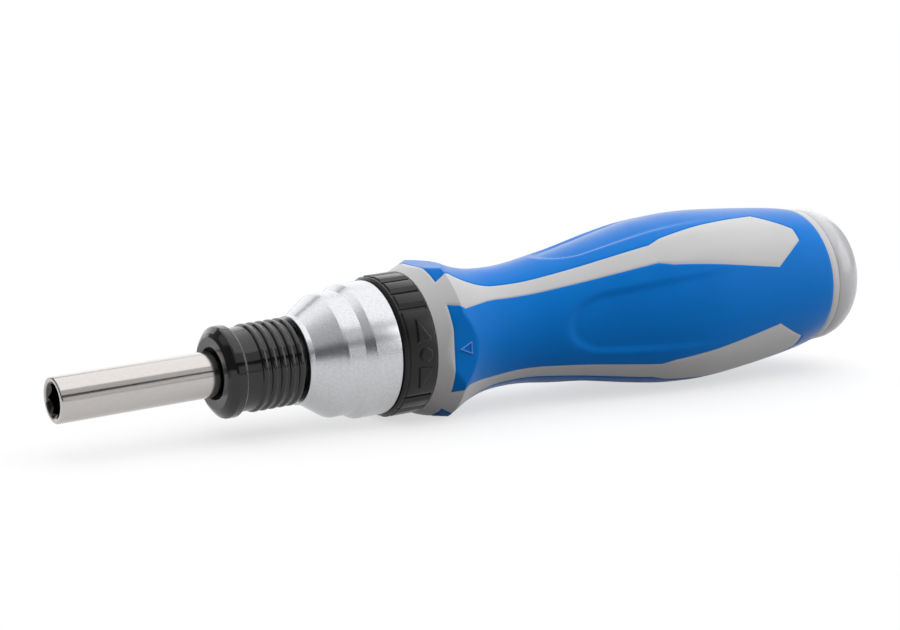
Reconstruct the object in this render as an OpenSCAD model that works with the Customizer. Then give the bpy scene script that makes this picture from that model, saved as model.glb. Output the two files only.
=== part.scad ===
// Ratcheting screwdriver: a magnetic bit holder in a pull-forward chuck, a turned nose,
// a three-way selector ring and a two-material handle with a push-in end cap.
// The tool lies along X. The bit mouth is at the origin and the handle runs to +X.
// The facing grip panel looks along -Y and +Z is up. All sizes are in millimetres.

/* [Bit holder] */
// Outer diameter of the bit sleeve
sleeve_d = 10; // [9.4:0.1:11.2]
// Length of sleeve that shows ahead of the collar
sleeve_show = 36.3; // [25:0.1:70]
// Width across the flats of the bit socket
socket_af = 6.35; // [6.1:0.01:6.5]
// Depth of the bit socket down to the magnet
socket_depth = 10; // [8:0.5:14]
// Length of the magnet behind the bit
magnet_len = 3; // [2:0.5:6]

/* [Release collar] */
// Outer diameter over the collar's flange
collar_d = 20; // [19.4:0.1:24]
// Outer diameter of the collar's neck between its ribs
collar_neck_d = 18.2; // [17.8:0.1:22]
// Length of the collar
collar_len = 17.7; // [17:0.1:24]
// Length of the collar's flange up to its rear slope
flange_len = 3.5; // [2.8:0.1:4]
// How far the collar pulls forward
collar_travel = 3; // [2:0.1:4]
// Grip ribs around the collar
rib_count = 5; // [2:1:6]
// Height of a grip rib
rib_h = 0.5; // [0.3:0.05:1]
// Distance from one grip rib to the next
rib_pitch = 2.15; // [1.6:0.05:2.4]

/* [Nose] */
// Diameter of the turned nose at its rear band
nose_d = 29.8; // [28.6:0.1:33]
// Diameter of the nose's front band
nose_band_d = 27.4; // [24:0.1:28.4]
// Diameter of the lip at the nose's front
nose_tip_d = 19.6; // [18:0.1:23]
// Length of the turned nose
nose_len = 19.9; // [18:0.1:24]
// Length of the cone behind the nose's lip
nose_cone_len = 5.6; // [4:0.1:8]
// Length of the nose's rear band
nose_rear_len = 6.4; // [4:0.1:9]

/* [Selector] */
// Outer diameter of the selector ring, which the front of the handle meets
ring_d = 31.6; // [31:0.1:34]
// Wall of the selector ring's rim, around the ratchet
ring_wall = 3.42; // [2.4:0.02:4.6]
// Length of the selector ring
ring_len = 7.7; // [7:0.1:10]
// Turn of the ring from the locked middle to either side, in degrees
select_turn = 19; // [13:1:24]
// Grooves between the ring's grip pads
groove_count = 18; // [8:1:24]
// Width of a groove between the ring's grip pads
groove_w = 0.95; // [0.5:0.05:1.6]
// Depth of a groove between the ring's grip pads
groove_deep = 0.55; // [0.2:0.05:0.8]

/* [Handle] */
// Length of the handle without its end cap
handle_len = 111.9; // [104:0.5:130]
// Diameter over the round corners of the flange at the handle's front
flange_d = 37; // [35:0.1:40]
// Width across the four flats of that flange
flange_flat_d = 33.5; // [32.5:0.1:36]
// Width at the waist, panel to panel
waist_d = 27.3; // [25.5:0.1:30]
// Width over the palm swell, panel to panel
grip_d = 40; // [36:0.5:46]
// Width of the rear rim, which the end cap meets
tail_d = 32.1; // [30:0.1:35]
// Distance from the handle's front to its waist
waist_x = 24.9; // [22:0.1:30]
// Distance from the handle's front to its palm swell
swell_x = 73.9; // [66:0.1:82]
// Thickness of the soft grip
grip_wall = 1.8; // [1.2:0.1:2.2]
// Half width of a hard stripe along the waist, in degrees
stripe_turn = 7.6; // [5:0.1:11]
// Half width of a hard stripe where it is widest, in degrees
leaf_turn = 24; // [16:0.5:28]
// Depth of the shallow scoop in each grip panel
scoop_depth = 0.7; // [0:0.05:1]
// Diameter of the bit store in the handle
store_d = 22; // [17:0.5:23]

/* [End cap] */
// Length of the end cap's dome
cap_len = 11.5; // [11:0.1:16]
// Length of the plug that holds the cap in the handle
plug_len = 9; // [6:0.5:14]
// Wall of the plug
plug_wall = 2; // [1.6:0.1:3]

/* [Fits] */
// Radial clearance where a shaft turns or slides in a bore
run_gap = 0.05; // [0.02:0.01:0.08]
// Clearance between parts that pass without touching
free_gap = 0.3; // [0.25:0.05:0.4]

/* [Hidden] */
$fn = 96;
eps = 0.01;

// Stations along the tool
collar_x0 = sleeve_show;
collar_x1 = collar_x0 + collar_len;
nose_x0 = collar_x1 + 1;
nose_x1 = nose_x0 + nose_len;
ring_x0 = nose_x1 + free_gap;
ring_x1 = ring_x0 + ring_len;
handle_x0 = ring_x1 + 0.2;
handle_x1 = handle_x0 + handle_len;
cap_x0 = handle_x1 + 0.15;
cap_x1 = cap_x0 + cap_len;

// Bit holder and chuck
sleeve_r = sleeve_d / 2;
sleeve_x1 = collar_x0 + 1.7;
edge_cut = 0.45;
sleeve_neck_r = sleeve_r - 0.25;
shoulder_x = collar_x0 - free_gap;
lead_r = socket_af / 2 + 0.89;
lead_len = 1.1;
magnet_r = 2.9;
magnet_gap = 0.05;
magnet_room = 0.2;
shank_x0 = socket_depth + magnet_len + magnet_room;
shank_in = 24.5;
shank_x1 = sleeve_x1 + shank_in;
chuck_x0 = sleeve_x1 + 1.2;
chuck_r = 5.7;
chuck_bore_x1 = shank_x1 + 0.8;
shank_gap = 0.05;
ball_r = 1.5;
ball_x = collar_x1 - 6;
ball_out = socket_af / 2 + 1.025;
ball_lift = 1.07;
groove_gap = 0.25;

// Collar inside
collar_neck_r = collar_neck_d / 2;
land_r = chuck_r + run_gap;
lip_bore_r = max(sleeve_r + 0.75, land_r);
lip_x1 = collar_x0 + flange_len;
snap_x0 = lip_x1 + 0.1;
snap_t = 0.8;
snap_sink = 0.3;
snap_gap = 0.02;
spring_solid = 1.8;
spring_x1 = snap_x0 + snap_t + collar_travel + spring_solid;
chamber_r = collar_neck_r - 1.3;
spring_r = chamber_r - 0.6;
spring_wire = 1;
ramp_slope = ball_lift / collar_travel;
ramp_cos = 1 / sqrt(1 + ramp_slope * ramp_slope);
ball_clear = ball_r + 0.05;
// The ramp stays tangent to the balls all along the collar's travel.
ramp_touch = [
    ball_x - ball_clear * ramp_slope * ramp_cos,
    ball_out + ball_clear * ramp_cos
];
ramp_x0 = ramp_touch[0] + (land_r - ramp_touch[1]) / ramp_slope;
ramp_x1 = ball_x + collar_travel + ball_r;
ramp_r1 = land_r + (ramp_x1 - ramp_x0) * ramp_slope;

// Ratchet
web_t = 1;
house_x0 = ring_x0 + web_t + free_gap;
ring_bore_r = ring_d / 2 - ring_wall;
house_r = ring_bore_r - run_gap - 0.03;
front_wall = 2;
gear_x0 = house_x0 + front_wall + 0.1;
gear_x1 = ring_x1 + 0.1;
pawl_len = 4.77;
pawl_top_z = house_r - 0.85;
pawl_tip_z = pawl_top_z - pawl_len;
tooth_h = 1.3;
tooth_bite = 0.52;
gear_tip_r = pawl_tip_z + tooth_bite;
gear_root_r = gear_tip_r - tooth_h;
gear_wall = 1.1;
gear_teeth = 24;
gear_pitch = 360 / gear_teeth;
cavity_r = gear_tip_r + free_gap;
washer_t = 0.5;
cavity_x1 = gear_x1 + washer_t + 0.1;
journal_r = chuck_r + 0.3;
bush_r = journal_r + 2;
bush_len = 13;
bush_x0 = nose_x0 + 2;
neck_bore_r = journal_r + 0.6;
neck_r = neck_bore_r + 1.45;
neck_x1 = house_x0 + front_wall - 0.1;
web_bore_r = neck_r + 0.15;
seat_r = gear_root_r - gear_wall;
tail_r = seat_r - 0.8;
tail_x1 = cavity_x1 + 13;
stem_r = 9;
stem_len = 29;
stem_x1 = handle_x0 + stem_len;

// Pawls slide along Z and are steered by spiral slots in the selector ring's web.
pawl_step = 0.55;
pawl_w = 4;
pawl_spring_r = 0.9;
peg_r = 0.7;
peg_z = (web_bore_r + ring_bore_r) / 2;
slot_over = 5;
spiral_rate = pawl_step / select_turn;

// Selector detent: a bowed leaf with a bump that sits in one of three notches.
leaf_w = 2.5;
leaf_x = (gear_x0 + gear_x1) / 2;
leaf_arc_r = 9;
leaf_t = 0.3;
leaf_half = 4.2;
leaf_top = house_r - 0.2;
bump_r = 0.55;
notch_gap = 0.2;

// Selector ring rim: a smooth field for the direction marks, then grooves between grip pads
mark_half = 38;

// Handle form: the profile runs through named widths at named places, and each list says
// how far along the way to the next place and to the next width the curve has come.
front_r = ring_d / 2;
flange_x = 6.2;
legs = [
    [0, front_r, [[0, 0], [0.226, 0.226], [0.581, 0.581], [0.8, 0.8]]],
    [flange_x, flange_d / 2, [
        [0, 0], [0.075, 0.139], [0.171, 0.34], [0.278, 0.536], [0.385, 0.69], [0.492, 0.814],
        [0.626, 0.918], [0.791, 0.979]
    ]],
    [waist_x, waist_d / 2, [
        [0, 0], [0.082, 0.031], [0.186, 0.134], [0.288, 0.252], [0.39, 0.386], [0.492, 0.535],
        [0.594, 0.685], [0.704, 0.827], [0.776, 0.906], [0.88, 0.969]
    ]],
    [swell_x, grip_d / 2, [
        [0, 0], [0.134, 0.038], [0.292, 0.139], [0.492, 0.316], [0.608, 0.43], [0.726, 0.557],
        [0.832, 0.696], [0.945, 0.899]
    ]],
    [handle_len, tail_d / 2, []]
];
profile = concat(
    [for (i = [0 : len(legs) - 2], s = legs[i][2]) [
        legs[i][0] + s[0] * (legs[i + 1][0] - legs[i][0]),
        legs[i][1] + s[1] * (legs[i + 1][1] - legs[i][1])
    ]],
    [[handle_len, tail_d / 2]]
);
// Rows of the profile where the colours change
window_row = 2;
crest_row = 4;
slim_row = 10;
waist_row = 12;
widen_row = 19;
leaf_row = 25;
stripe_row = 27;
grip_row = 29;
// How much the corners of the section stand proud of the panels, by row
corner_rise = [
    [crest_row + 1, 0], [slim_row - 1, 0.012], [waist_row, 0.014], [15, 0.022],
    [widen_row, 0.036], [22, 0.045], [leaf_row, 0.042], [stripe_row, 0.025], [grip_row, 0]
];
// Half width of the hard stripe on each corner, in degrees, by row
stripe = [
    [window_row, 10.5], [crest_row, 14], [crest_row + 1, 16],
    [slim_row - 1, stripe_turn + 1.2], [slim_row, stripe_turn], [widen_row, stripe_turn],
    [widen_row + 1, stripe_turn + 3.4], [leaf_row, leaf_turn],
    [stripe_row, 5.5]
];
scoop_back = 20;
scoop_x = waist_x + scoop_back;
scoop_nose = 10.4;
scoop_half = 26;
crease = 9;
panel_steps = [-1, -0.74, -0.5, -0.25, 0.25, 0.5, 0.74, 1];
side_columns = len(panel_steps) + 3;
columns = 4 * side_columns;
rows = len(profile);
store_r = store_d / 2;
store_x0 = stem_x1 + 10;

// Storage cap
cap_r = tail_d / 2 - 0.05;
cap_crown = 26.4;
cap_round = 8.32;
cap_floor = 2;
plug_r = store_r - run_gap - 0.03;
seal_r = 0.6;
seal_x = cap_x0 - plug_len * 0.55;
seal_mid = plug_r - seal_r + run_gap;

// Shared helpers

// A round bar along X between two stations
module bar(x0, x1, r) {
    translate([x0, 0, 0]) rotate([0, 90, 0]) cylinder(r = r, h = x1 - x0);
}

// A hexagonal bar along X with corners towards -Y and +Y
module hex_bar(x0, x1, af) {
    translate([x0, 0, 0]) rotate([90, 0, 0]) rotate([0, 90, 0])
        cylinder(d = af / cos(30), h = x1 - x0, $fn = 6);
}

// A turned solid whose outline is drawn as distance along X against radius
module turned() {
    rotate([0, 90, 0]) rotate_extrude() mirror([1, -1, 0]) children();
}

// Copies a child at a turn about X, measured from -Y towards +Z
module at_turn(a) {
    rotate([-a, 0, 0]) children();
}

// Bit holder

module bit_sleeve() {
    color([0.86, 0.85, 0.83]) difference() {
        turned() polygon([
            [0, 0], [0, sleeve_r - edge_cut], [edge_cut, sleeve_r], [shoulder_x, sleeve_r],
            [shoulder_x, sleeve_neck_r], [sleeve_x1, sleeve_neck_r], [sleeve_x1, 0]
        ]);
        hex_bar(-1, socket_depth, socket_af);
        turned() polygon([
            [-1, 0], [-1, lead_r], [0, lead_r], [lead_len, socket_af / 2], [lead_len, 0]
        ]);
        bar(socket_depth - eps, shank_x0, magnet_r + magnet_gap);
        hex_bar(shank_x0 - eps, sleeve_x1 + 1, socket_af);
    }
}

module bit_shank() {
    color([0.55, 0.55, 0.57]) difference() {
        hex_bar(shank_x0, shank_x1, socket_af);
        turned() translate([ball_x, ball_out]) circle(r = ball_r + groove_gap);
    }
}

module bit_magnet() {
    color([0.3, 0.3, 0.32]) bar(socket_depth, socket_depth + magnet_len, magnet_r);
}

// Release collar

module collar_outline() {
    top = collar_d / 2;
    neck = collar_neck_r;
    difference() {
        union() {
            polygon([
                [collar_x0, 0], [collar_x0, top - 2.15], [collar_x0 + 0.4, top - 1.3],
                [collar_x0 + 1.3, top - 0.2], [collar_x0 + 1.7, top],
                [collar_x0 + flange_len, top], [collar_x0 + flange_len + 0.7, neck],
                [collar_x1 - 0.3, neck], [collar_x1, neck - 0.3], [collar_x1, 0]
            ]);
            for (i = [0 : rib_count - 1]) {
                translate([collar_x1 - 0.8 - i * rib_pitch, neck]) polygon([
                    [-0.7, -0.2], [-0.65, 0], [-0.35, rib_h], [0.35, rib_h], [0.65, 0], [0.7, -0.2]
                ]);
            }
        }
        polygon([
            [collar_x0 - 1, -1], [collar_x0 - 1, lip_bore_r], [lip_x1, lip_bore_r],
            [lip_x1, chamber_r], [spring_x1, chamber_r], [spring_x1, land_r],
            [ramp_x0, land_r], [ramp_x1, ramp_r1], [collar_x1 + 1, ramp_r1], [collar_x1 + 1, -1]
        ]);
    }
}

module release_collar() {
    color([0.09, 0.09, 0.1]) turned() collar_outline();
}

module collar_spring() {
    color([0.6, 0.6, 0.62]) difference() {
        bar(snap_x0 + snap_t + 0.05, spring_x1 - 0.05, spring_r);
        bar(snap_x0, spring_x1 + 1, spring_r - spring_wire);
    }
}

module collar_snap_ring() {
    color([0.4, 0.4, 0.42]) difference() {
        bar(snap_x0, snap_x0 + snap_t, chamber_r - 0.1);
        bar(snap_x0 - 1, snap_x0 + 2, chuck_r - snap_sink + snap_gap);
        translate([snap_x0 - 1, -1, 0]) cube([3, 2, 12]);
    }
}

module lock_ball(side) {
    color([0.8, 0.8, 0.82]) translate([ball_x, side * ball_out, 0]) sphere(r = ball_r);
}

module lock_ball_near() {
    lock_ball(-1);
}

module lock_ball_far() {
    lock_ball(1);
}

// Spindle and ratchet

module spindle() {
    color([0.62, 0.62, 0.64]) difference() {
        turned() polygon([
            [chuck_x0, 0], [chuck_x0, chuck_r - 0.4], [chuck_x0 + 0.4, chuck_r],
            [snap_x0 - snap_gap, chuck_r], [snap_x0 - snap_gap, chuck_r - snap_sink],
            [snap_x0 + snap_t + snap_gap, chuck_r - snap_sink], [snap_x0 + snap_t + snap_gap, chuck_r],
            [nose_x0 + 1, chuck_r], [nose_x0 + 1.5, journal_r], [gear_x0, journal_r],
            [gear_x0, seat_r], [gear_x1, seat_r], [gear_x1, tail_r], [tail_x1 - 0.5, tail_r],
            [tail_x1, tail_r - 0.5], [tail_x1, 0]
        ]);
        hex_bar(chuck_x0 - 1, chuck_bore_x1, socket_af + 2 * shank_gap);
        translate([ball_x, chuck_r + 1, 0]) rotate([90, 0, 0])
            cylinder(r = ball_r + run_gap, h = 2 * chuck_r + 2);
    }
}

module ratchet_gear() {
    flank = [for (i = [0 : gear_teeth - 1], c = [[-0.04, gear_root_r], [0.04, gear_root_r],
        [0.46, gear_tip_r], [0.54, gear_tip_r]])
        [c[1] * cos((i + c[0]) * gear_pitch), c[1] * sin((i + c[0]) * gear_pitch)]];
    color([0.5, 0.5, 0.52]) difference() {
        translate([gear_x0, 0, 0]) rotate([0, 90, 0])
            linear_extrude(height = gear_x1 - gear_x0) polygon(flank);
        bar(gear_x0 - 1, gear_x1 + 1, seat_r + 0.01);
    }
}

module front_bush() {
    color([0.72, 0.55, 0.3]) difference() {
        bar(bush_x0, bush_x0 + bush_len, bush_r);
        bar(bush_x0 - 1, bush_x0 + bush_len + 1, journal_r + run_gap);
    }
}

module thrust_washer() {
    color([0.72, 0.55, 0.3]) difference() {
        bar(gear_x1 + 0.05, gear_x1 + 0.05 + washer_t, cavity_r - 0.1);
        bar(gear_x1 - 1, gear_x1 + 2, tail_r + run_gap);
    }
}

module nose() {
    top = nose_d / 2;
    band = nose_band_d / 2;
    tip = nose_tip_d / 2;
    lip_x = nose_x0 + 1.3;
    cone_x = lip_x + nose_cone_len;
    step_x = nose_x1 - nose_rear_len;
    color([0.8, 0.8, 0.81]) difference() {
        turned() polygon([
            [nose_x0, 0], [nose_x0, tip - 0.3], [nose_x0 + 0.3, tip], [lip_x, tip],
            [cone_x, band - 0.2], [cone_x + 0.6, band], [step_x - 1.9, band],
            [step_x - 0.2, top - 0.1], [step_x + 0.1, top], [nose_x1 - 0.3, top],
            [nose_x1, top - 0.3], [nose_x1, neck_r], [neck_x1, neck_r], [neck_x1, 0]
        ]);
        bar(nose_x0 - 1, neck_x1 + 1, neck_bore_r);
        bar(bush_x0, bush_x0 + bush_len, bush_r);
    }
}

// Selector

// One spiral slot about +Z in the ring's web; dir sets which way it winds
module spiral_slot(dir) {
    reach = select_turn + slot_over;
    half = peg_r + 0.12;
    turns = [for (i = [-6 : 6]) i * reach / 6];
    line = [for (a = turns) [peg_z + dir * spiral_rate * a, a]];
    outer = [for (p = line) [(p[0] + half) * cos(p[1]), (p[0] + half) * sin(p[1])]];
    inner = [for (i = [12 : -1 : 0])
        [(line[i][0] - half) * cos(line[i][1]), (line[i][0] - half) * sin(line[i][1])]];
    translate([ring_x0 - 1, 0, 0]) rotate([90, 0, 90]) rotate([0, 0, 90])
        linear_extrude(height = web_t + 2) polygon(concat(outer, inner));
}

module selector_ring() {
    top = ring_d / 2;
    pitch = (360 - 2 * mark_half) / (groove_count - 1);
    color([0.13, 0.13, 0.14]) difference() {
        turned() polygon([
            [ring_x0, web_bore_r], [ring_x0, top - 0.9], [ring_x0 + 0.5, top - 0.35],
            [ring_x0 + 0.9, top - 0.35], [ring_x0 + 1.2, top], [ring_x1 - 0.3, top],
            [ring_x1, top - 0.3], [ring_x1, ring_bore_r], [ring_x0 + web_t, ring_bore_r],
            [ring_x0 + web_t, web_bore_r]
        ]);
        for (i = [0 : groove_count - 1]) {
            at_turn(mark_half + i * pitch)
                translate([ring_x0 + 0.7, -top - 1, -groove_w / 2])
                    cube([ring_len, 1 + groove_deep, groove_w]);
        }
        spiral_slot(1);
        rotate([180, 0, 0]) spiral_slot(-1);
        for (i = [-1 : 1]) {
            rotate([i * select_turn, 0, 0]) translate([leaf_x - leaf_w / 2 - 0.4, leaf_top + 0.1, 0])
                rotate([0, 90, 0]) cylinder(r = bump_r + notch_gap, h = leaf_w + 0.8);
        }
    }
}

module detent_leaf() {
    color([0.7, 0.7, 0.72]) translate([leaf_x - leaf_w / 2, 0, 0]) rotate([90, 0, 90])
        linear_extrude(height = leaf_w) {
            intersection() {
                translate([leaf_top - leaf_arc_r, 0]) difference() {
                    circle(r = leaf_arc_r);
                    circle(r = leaf_arc_r - leaf_t);
                }
                translate([leaf_top - leaf_arc_r, -leaf_half]) square([leaf_arc_r, 2 * leaf_half]);
            }
            difference() {
                translate([leaf_top, 0]) circle(r = bump_r);
                translate([leaf_top - leaf_arc_r, 0]) circle(r = leaf_arc_r - leaf_t / 2);
            }
        }
}

// A pawl above the gear; lean tips the steep flank to one side or the other
module pawl_body(lean) {
    steep = 0.42;
    shallow = 0.6;
    left = lean > 0 ? steep : shallow;
    right = lean > 0 ? shallow : steep;
    half = pawl_w / 2;
    x0 = gear_x0 + 0.05;
    x1 = ring_x1 - 0.1;
    color([0.56, 0.5, 0.44]) difference() {
        union() {
            translate([x0, 0, 0]) rotate([90, 0, 90]) linear_extrude(height = x1 - x0) polygon([
                [-0.05, pawl_tip_z], [0.05, pawl_tip_z], [right * 1.4, pawl_tip_z + 1.4],
                [half, pawl_tip_z + 1.9], [half, pawl_top_z], [-half, pawl_top_z],
                [-half, pawl_tip_z + 1.9], [-left * 1.4, pawl_tip_z + 1.4]
            ]);
            translate([ring_x0 + 0.1, 0, peg_z]) rotate([0, 90, 0])
                cylinder(r = peg_r, h = x0 - ring_x0);
        }
        translate([leaf_x + 0.4, 0, pawl_top_z - 2.2]) cylinder(r = pawl_spring_r + 0.1, h = 5);
    }
}

module pawl_spring() {
    color([0.7, 0.7, 0.72]) translate([leaf_x + 0.4, 0, pawl_top_z - 2.15])
        cylinder(r = pawl_spring_r, h = ring_bore_r - 0.15 - pawl_top_z + 2.15);
}

module pawl_upper() {
    pawl_body(1);
}

module pawl_lower() {
    rotate([180, 0, 0]) pawl_body(-1);
}

module pawl_spring_upper() {
    pawl_spring();
}

module pawl_spring_lower() {
    rotate([180, 0, 0]) pawl_spring();
}

module ratchet_housing() {
    slot_half = pawl_w / 2 + run_gap;
    color([0.58, 0.58, 0.6]) difference() {
        union() {
            bar(house_x0, handle_x0, house_r);
            bar(handle_x0 - eps, stem_x1, stem_r);
        }
        bar(house_x0 - 1, house_x0 + front_wall + eps, neck_r + 0.02);
        bar(house_x0 + front_wall, cavity_x1, cavity_r);
        bar(cavity_x1 - eps, tail_x1 + 1, tail_r + run_gap);
        translate([gear_x0, -slot_half, -house_r - 1])
            cube([ring_x1 - gear_x0 - 0.05, 2 * slot_half, 2 * house_r + 2]);
        for (side = [0, 180]) {
            rotate([side, 0, 0]) translate([house_x0 - 1, -peg_r - 0.1, peg_z - pawl_step - peg_r - 0.15])
                cube([front_wall + 2, 2 * peg_r + 0.2, 2 * (pawl_step + peg_r + 0.15)]);
        }
        translate([leaf_x - leaf_w / 2 - 0.3, leaf_top - 1.4, -leaf_half - 0.6])
            cube([leaf_w + 0.6, 5, 2 * leaf_half + 1.2]);
    }
}

// Handle

function ease(t) = let (u = min(1, max(0, t))) u * u * (3 - 2 * u);

// Radius of the rounded square section: four crowned panels meeting round corners
function section(r, rise, a) =
    let (
        top = r * (1 + rise),
        bend = 45 - crease,
        c = (top * top - r * r) / (2 * (r - top * cos(bend))),
        panel = sqrt((r + c) * (r + c) - c * c * sin(a) * sin(a)) - c * cos(a)
    )
    min(top, panel);

// Depth of a panel's scoop: an oval front end that fades out over the swell
function scoop(x, a) =
    let (
        ahead = min(0, (x - scoop_x) / scoop_nose),
        q = sqrt(ahead * ahead + a * a / (scoop_half * scoop_half)),
        fade = (x - scoop_x - 1) / (swell_x - scoop_x + 5)
    )
    scoop_depth * ease((1 - q) / 0.28) * (1 - ease(fade));

// A flat cut across each side of the flange, which keeps the tool from rolling
function flat(i, a) = i < waist_row ? flange_flat_d / 2 / cos(a) : grip_d;

// Handle radius on a row of the profile, at a turn from the panel's middle
function skin(i, a) =
    min(flat(i, a), section(profile[i][1], lookup(i, corner_rise), a) - scoop(profile[i][0], a));

// Turn of a column from its panel's middle: stripe columns first, then the panel's own
function column_turn(i, k) =
    let (w = lookup(i, stripe), fold = min(crease, 0.62 * w))
    k == 0 ? -45
    : k == 1 ? fold - 45
    : k == side_columns - 1 ? 45 - fold
    : panel_steps[k - 2] * (45 - w);

function form_point(i, j, drop) =
    let (
        a = column_turn(i, j % side_columns),
        t = a + 90 * floor(j / side_columns),
        r = skin(i, a) - drop
    )
    [handle_x0 + profile[i][0], -r * cos(t), r * sin(t)];

form_points = [for (drop = [0, grip_wall], i = [0 : rows - 1], j = [0 : columns - 1])
    form_point(i, j, drop)];
under = rows * columns;

// Whether the cell behind row i and column j belongs to the soft grip
function soft(i, j) =
    let (k = (j + columns) % side_columns)
    i >= window_row && i < grip_row && (i >= stripe_row || (k >= 2 && k <= len(panel_steps)));

function at(i, j) = i * columns + (j + columns) % columns;

// The two triangles of one cell, with level the first point of its layer
function cell(i, j, level) =
    let (
        a = level + at(i, j), b = level + at(i + 1, j),
        c = level + at(i + 1, j + 1), d = level + at(i, j + 1)
    )
    [[a, d, c], [a, c, b]];

// The wall that runs down from an edge of the outer layer to the layer under it
function wall(p, q) = [[p, q, q + under], [p, q + under, p + under]];

function edge_walls(i, j) = concat(
    soft(i - 1, j) ? [] : wall(at(i, j + 1), at(i, j)),
    soft(i + 1, j) ? [] : wall(at(i + 1, j), at(i + 1, j + 1)),
    soft(i, j - 1) ? [] : wall(at(i, j), at(i + 1, j)),
    soft(i, j + 1) ? [] : wall(at(i + 1, j + 1), at(i, j + 1))
);

function flipped(faces) = [for (f = faces) [f[2], f[1], f[0]]];

cells = [for (i = [0 : rows - 2], j = [0 : columns - 1]) [i, j]];
soft_cells = [for (c = cells) if (soft(c[0], c[1])) c];
soft_walls = [for (c = soft_cells, f = edge_walls(c[0], c[1])) f];

// The hard body: proud where it shows and sunk by the grip's thickness elsewhere
module core_form() {
    last = rows - 1;
    polyhedron(form_points, concat(
        [for (c = cells, f = cell(c[0], c[1], soft(c[0], c[1]) ? under : 0)) f],
        flipped(soft_walls),
        [[for (j = [columns - 1 : -1 : 0]) at(0, j)]],
        [[for (j = [0 : columns - 1]) at(last, j)]]
    ));
}

module handle_core() {
    color([0.62, 0.63, 0.65]) difference() {
        core_form();
        bar(handle_x0 - 1, stem_x1 + 0.2, stem_r);
        bar(store_x0, handle_x1 + 1, store_r);
    }
}

module soft_grip() {
    color([0.02, 0.27, 0.55]) polyhedron(form_points, concat(
        [for (c = soft_cells, f = cell(c[0], c[1], 0)) f],
        [for (c = soft_cells, f = flipped(cell(c[0], c[1], under))) f],
        soft_walls
    ));
}

// End cap

module cap_outline() {
    low = cap_r - cap_round;
    span = sqrt((cap_crown - cap_round) * (cap_crown - cap_round) - low * low);
    crown_x = cap_x1 - cap_crown;
    round_x = crown_x + span;
    meet = cap_crown / (cap_crown - cap_round);
    meet_r = low * meet;
    meet_x = crown_x + span * meet;
    intersection() {
        translate([cap_x0, 0]) square([cap_len, cap_r]);
        union() {
            polygon([[cap_x0, 0], [cap_x0, cap_r], [round_x, cap_r], [round_x, 0]]);
            translate([round_x, low]) circle(r = cap_round);
            polygon([[round_x, 0], [round_x, low], [meet_x, meet_r], [meet_x, 0]]);
            intersection() {
                translate([crown_x, 0]) circle(r = cap_crown);
                translate([meet_x - eps, 0]) square([cap_crown, meet_r]);
            }
        }
    }
}

module end_cap() {
    color([0.82, 0.83, 0.84]) difference() {
        union() {
            turned() cap_outline();
            bar(cap_x0 - plug_len, cap_x0 + eps, plug_r);
        }
        bar(cap_x0 - plug_len - 1, cap_x0 + cap_floor, plug_r - plug_wall);
        turned() translate([seal_x - seal_r - 0.05, seal_mid - seal_r - 0.05])
            square([2 * seal_r + 0.1, 2 * seal_r]);
    }
}

module cap_seal() {
    color([0.1, 0.1, 0.1]) turned() translate([seal_x, seal_mid]) circle(r = seal_r);
}

bit_sleeve();
bit_shank();
bit_magnet();
release_collar();
collar_spring();
collar_snap_ring();
lock_ball_near();
lock_ball_far();
spindle();
ratchet_gear();
front_bush();
thrust_washer();
nose();
selector_ring();
detent_leaf();
pawl_upper();
pawl_lower();
pawl_spring_upper();
pawl_spring_lower();
ratchet_housing();
handle_core();
soft_grip();
end_cap();
cap_seal();
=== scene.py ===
"""Visible skin, finishes and studio of a ratcheting screwdriver, built over its CAD frame."""

import math

import bpy
import numpy as np
from bpy.props import (
    FloatProperty,
    FloatVectorProperty,
    IntProperty,
    PointerProperty,
)
from mathutils import Matrix, Vector


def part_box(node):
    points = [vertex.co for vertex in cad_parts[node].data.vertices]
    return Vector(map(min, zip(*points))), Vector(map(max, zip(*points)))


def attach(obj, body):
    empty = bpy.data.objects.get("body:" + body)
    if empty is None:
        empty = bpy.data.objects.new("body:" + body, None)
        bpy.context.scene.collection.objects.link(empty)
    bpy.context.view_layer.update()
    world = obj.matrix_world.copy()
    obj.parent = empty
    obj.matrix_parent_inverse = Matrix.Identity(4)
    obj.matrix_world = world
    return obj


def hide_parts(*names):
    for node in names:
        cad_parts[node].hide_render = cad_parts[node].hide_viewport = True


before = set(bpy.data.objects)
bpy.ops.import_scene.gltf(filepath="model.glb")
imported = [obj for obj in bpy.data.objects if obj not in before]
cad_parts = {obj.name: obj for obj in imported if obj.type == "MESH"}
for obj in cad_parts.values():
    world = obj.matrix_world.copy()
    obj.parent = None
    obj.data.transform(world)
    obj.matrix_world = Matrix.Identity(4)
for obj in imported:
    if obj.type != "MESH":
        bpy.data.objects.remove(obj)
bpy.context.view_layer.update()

bl_info = {
    "name": "Ratchet Screwdriver",
    "version": (1, 0, 0),
    "blender": (4, 5, 0),
    "location": "View3D > Sidebar > Screwdriver",
    "description": "Dresses the CAD frame of a ratcheting screwdriver and lights it",
    "category": "Add Mesh",
}

MM = 0.001


def reach(node):
    """Front end, rear end and largest radius of a CAD node, in millimetres."""
    low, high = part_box(node)
    return low.x / MM, high.x / MM, high.z / MM


SLEEVE = reach("bit_sleeve")
COLLAR = reach("release_collar")
NOSE = reach("nose")
RING = reach("selector_ring")
CORE = reach("handle_core")
CAP = reach("end_cap")


def length(name, description, millimetres):
    """A length property whose default is given in millimetres."""
    return FloatProperty(
        name=name, description=description, default=millimetres * MM, unit="LENGTH", precision=5
    )


def colour(name, description, red, green, blue):
    """A linear colour property."""
    return FloatVectorProperty(
        name=name,
        description=description,
        default=(red, green, blue),
        subtype="COLOR",
        size=3,
        min=0.0,
        max=1.0,
    )


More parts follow.
